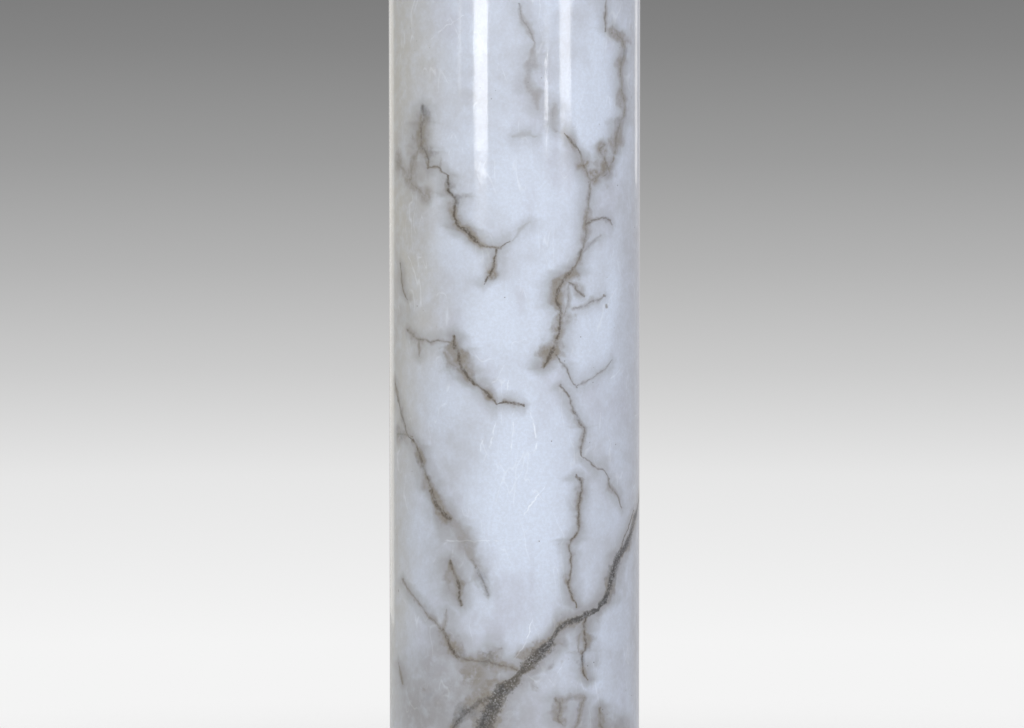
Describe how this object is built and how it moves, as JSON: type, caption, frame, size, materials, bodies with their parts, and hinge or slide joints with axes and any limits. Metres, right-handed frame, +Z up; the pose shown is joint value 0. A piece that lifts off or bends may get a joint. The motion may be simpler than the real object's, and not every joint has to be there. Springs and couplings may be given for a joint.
{
  "type": "baptismal font",
  "caption": "Alabaster column font on a stepped octagonal plinth, with a lined and drained basin under a hinged metal dome.",
  "frame": {"origin": "on the floor, at the column's axis", "axes": "+Z up the column's axis; the front of the font faces -Y and the cover's hinge is at +Y"},
  "size_m": [0.5, 0.4999, 1.25],
  "materials": {
    "alabaster": "polished white alabaster with grey-brown veins",
    "lead": "dull rolled lead",
    "bronze": "plain turned bronze",
    "brass": "polished brass, lightly toned",
    "copper": "satin copper",
    "rubber": "matt black",
    "felt": "dark red wool felt"
  },
  "bodies": {
    "font": {"plinth_lower": "alabaster", "plinth_upper": "alabaster", "base_moulding": "alabaster", "shaft": "alabaster", "capital": "alabaster", "bowl": "alabaster", "plinth_bed": "lead", "base_bed": "lead", "shaft_foot_bed": "lead", "shaft_head_bed": "lead", "bowl_bed": "lead", "plinth_dowels": "bronze", "base_dowels": "bronze", "shaft_foot_dowels": "bronze", "shaft_head_dowels": "bronze", "bowl_dowels": "bronze", "liner": "copper", "waste_body": "brass", "waste_grid": "brass", "waste_washer": "rubber", "waste_backnut": "brass", "drain_pipe": "copper", "drain_ferrule": "brass", "hinge_bracket": "brass", "hinge_pin": "brass", "bracket_screws": "brass", "button_post": "brass", "button_spacer": "brass", "screw_plugs": "lead"},
    "plug": {"drain_plug": "brass", "plug_seal": "rubber", "plug_knob": "brass"},
    "cover": {"cover_dome": "brass", "cover_flange": "brass", "cover_band": "brass", "cover_rivets": "brass", "cover_felt": "felt", "finial_base": "brass", "finial_ball": "brass", "finial_cross": "brass", "finial_stud": "brass", "finial_washer": "brass", "finial_nut": "brass", "ring_eye": "brass", "ring_eye_nut": "brass", "hinge_strap": "brass", "strap_rivets": "brass"},
    "ring": {"lift_ring": "brass"},
    "button": {"turn_button": "brass"}
  },
  "joints": [
    {"name": "cover_hinge", "type": "hinge", "parent": "font", "child": "cover", "pos_m": [0, 0.231, 1.009], "axis": [-1, 0, 0], "range_deg": [0, 100]},
    {"name": "ring_pivot", "type": "hinge", "parent": "cover", "child": "ring", "pos_m": [0, -0.14428, 1.07756], "axis": [-1, 0, 0], "range_deg": [0, 150]},
    {"name": "button_turn", "type": "hinge", "parent": "font", "child": "button", "pos_m": [0, -0.236, 1.0045], "axis": [0, 0, 1], "range_deg": [0, 90]},
    {"name": "plug_lift", "type": "slide", "parent": "font", "child": "plug", "axis": [0, 0, 1], "range_m": [0, 0.06]}
  ]
}
